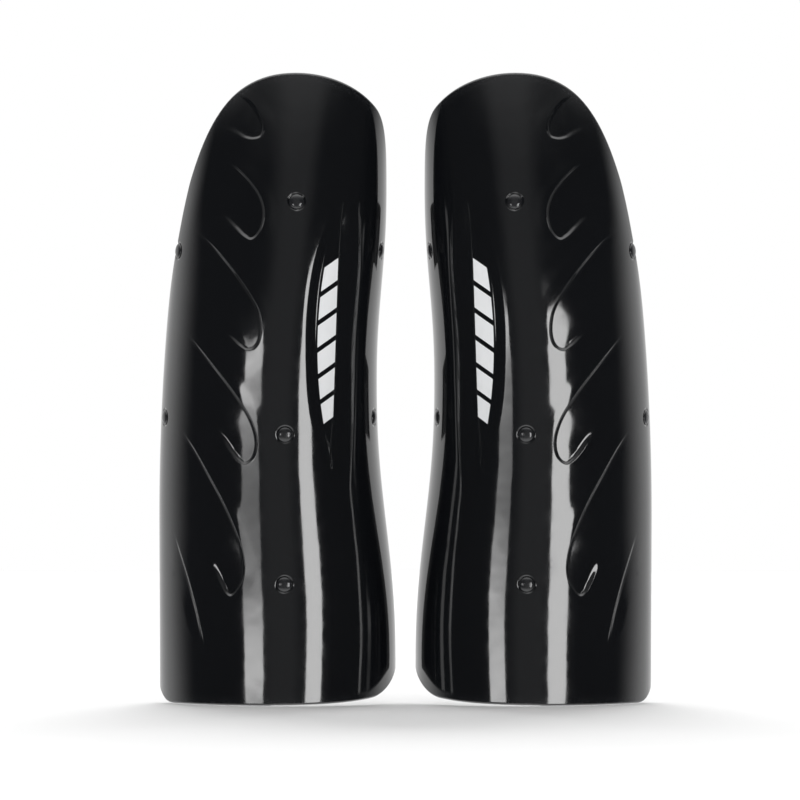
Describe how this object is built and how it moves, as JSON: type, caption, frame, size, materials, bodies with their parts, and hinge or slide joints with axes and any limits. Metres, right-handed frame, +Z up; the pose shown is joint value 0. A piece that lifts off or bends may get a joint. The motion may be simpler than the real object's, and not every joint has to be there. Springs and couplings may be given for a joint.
{
  "type": "shin guard",
  "caption": "Mirrored pair of hard-shell shin guards: curved gloss shells with riveted foam liners and swinging elastic calf straps.",
  "frame": {"origin": "on the floor under the middle of the pair's bounding box", "axes": "+Z up; the guards' fronts face -Y; +X from the right leg's guard to the left leg's guard"},
  "size_m": [0.276, 0.1021, 0.3518],
  "materials": {
    "shell": "glossy injection-moulded polypropylene, near black",
    "foam": "closed-cell EVA foam, matt charcoal",
    "lining": "brushed knitted polyester, dark grey",
    "binding": "woven binding tape, black",
    "rivet": "glossy black nylon cap",
    "washer": "matt black nylon",
    "strap_elastic": "ribbed black elastic webbing",
    "tab_webbing": "black woven webbing",
    "hook_tape": "moulded nylon hook tape",
    "loop_tape": "brushed nylon loop tape"
  },
  "bodies": {
    "right_guard": {"right_centre_rivets": "rivet", "right_centre_washers": "washer", "right_liner_binding": "binding", "right_liner_foam": "foam", "right_liner_lining": "lining", "right_lower_loop_patch": "loop_tape", "right_lower_strap_root": "strap_elastic", "right_lower_tab": "tab_webbing", "right_shell": "shell", "right_strap_rivets": "rivet", "right_strap_washers": "washer", "right_upper_loop_patch": "loop_tape", "right_upper_strap_root": "strap_elastic", "right_upper_tab": "tab_webbing"},
    "left_guard": {"left_centre_rivets": "rivet", "left_centre_washers": "washer", "left_liner_binding": "binding", "left_liner_foam": "foam", "left_liner_lining": "lining", "left_lower_loop_patch": "loop_tape", "left_lower_strap_root": "strap_elastic", "left_lower_tab": "tab_webbing", "left_shell": "shell", "left_strap_rivets": "rivet", "left_strap_washers": "washer", "left_upper_loop_patch": "loop_tape", "left_upper_strap_root": "strap_elastic", "left_upper_tab": "tab_webbing"},
    "right_upper_band": {"right_upper_strap": "strap_elastic", "right_upper_hook_patch": "hook_tape"},
    "right_lower_band": {"right_lower_strap": "strap_elastic", "right_lower_hook_patch": "hook_tape"},
    "left_upper_band": {"left_upper_strap": "strap_elastic", "left_upper_hook_patch": "hook_tape"},
    "left_lower_band": {"left_lower_strap": "strap_elastic", "left_lower_hook_patch": "hook_tape"}
  },
  "joints": [
    {"name": "left_guard_apart", "type": "slide", "parent": "right_guard", "child": "left_guard", "axis": [1, 0, 0], "range_m": [0, 0.25]},
    {"name": "right_upper_strap_open", "type": "hinge", "parent": "right_guard", "child": "right_upper_band", "pos_m": [-0.12503, 0.00233, 0.2546], "axis": [0, -0.1253, 0.9921], "range_deg": [0, 100]},
    {"name": "right_lower_strap_open", "type": "hinge", "parent": "right_guard", "child": "right_lower_band", "pos_m": [-0.13249, 0.01405, 0.16184], "axis": [0, -0.1253, 0.9921], "range_deg": [0, 100]},
    {"name": "left_upper_strap_open", "type": "hinge", "parent": "left_guard", "child": "left_upper_band", "pos_m": [0.12503, 0.00233, 0.2546], "axis": [0, 0.1253, -0.9921], "range_deg": [0, 100]},
    {"name": "left_lower_strap_open", "type": "hinge", "parent": "left_guard", "child": "left_lower_band", "pos_m": [0.13249, 0.01405, 0.16184], "axis": [0, 0.1253, -0.9921], "range_deg": [0, 100]}
  ]
}
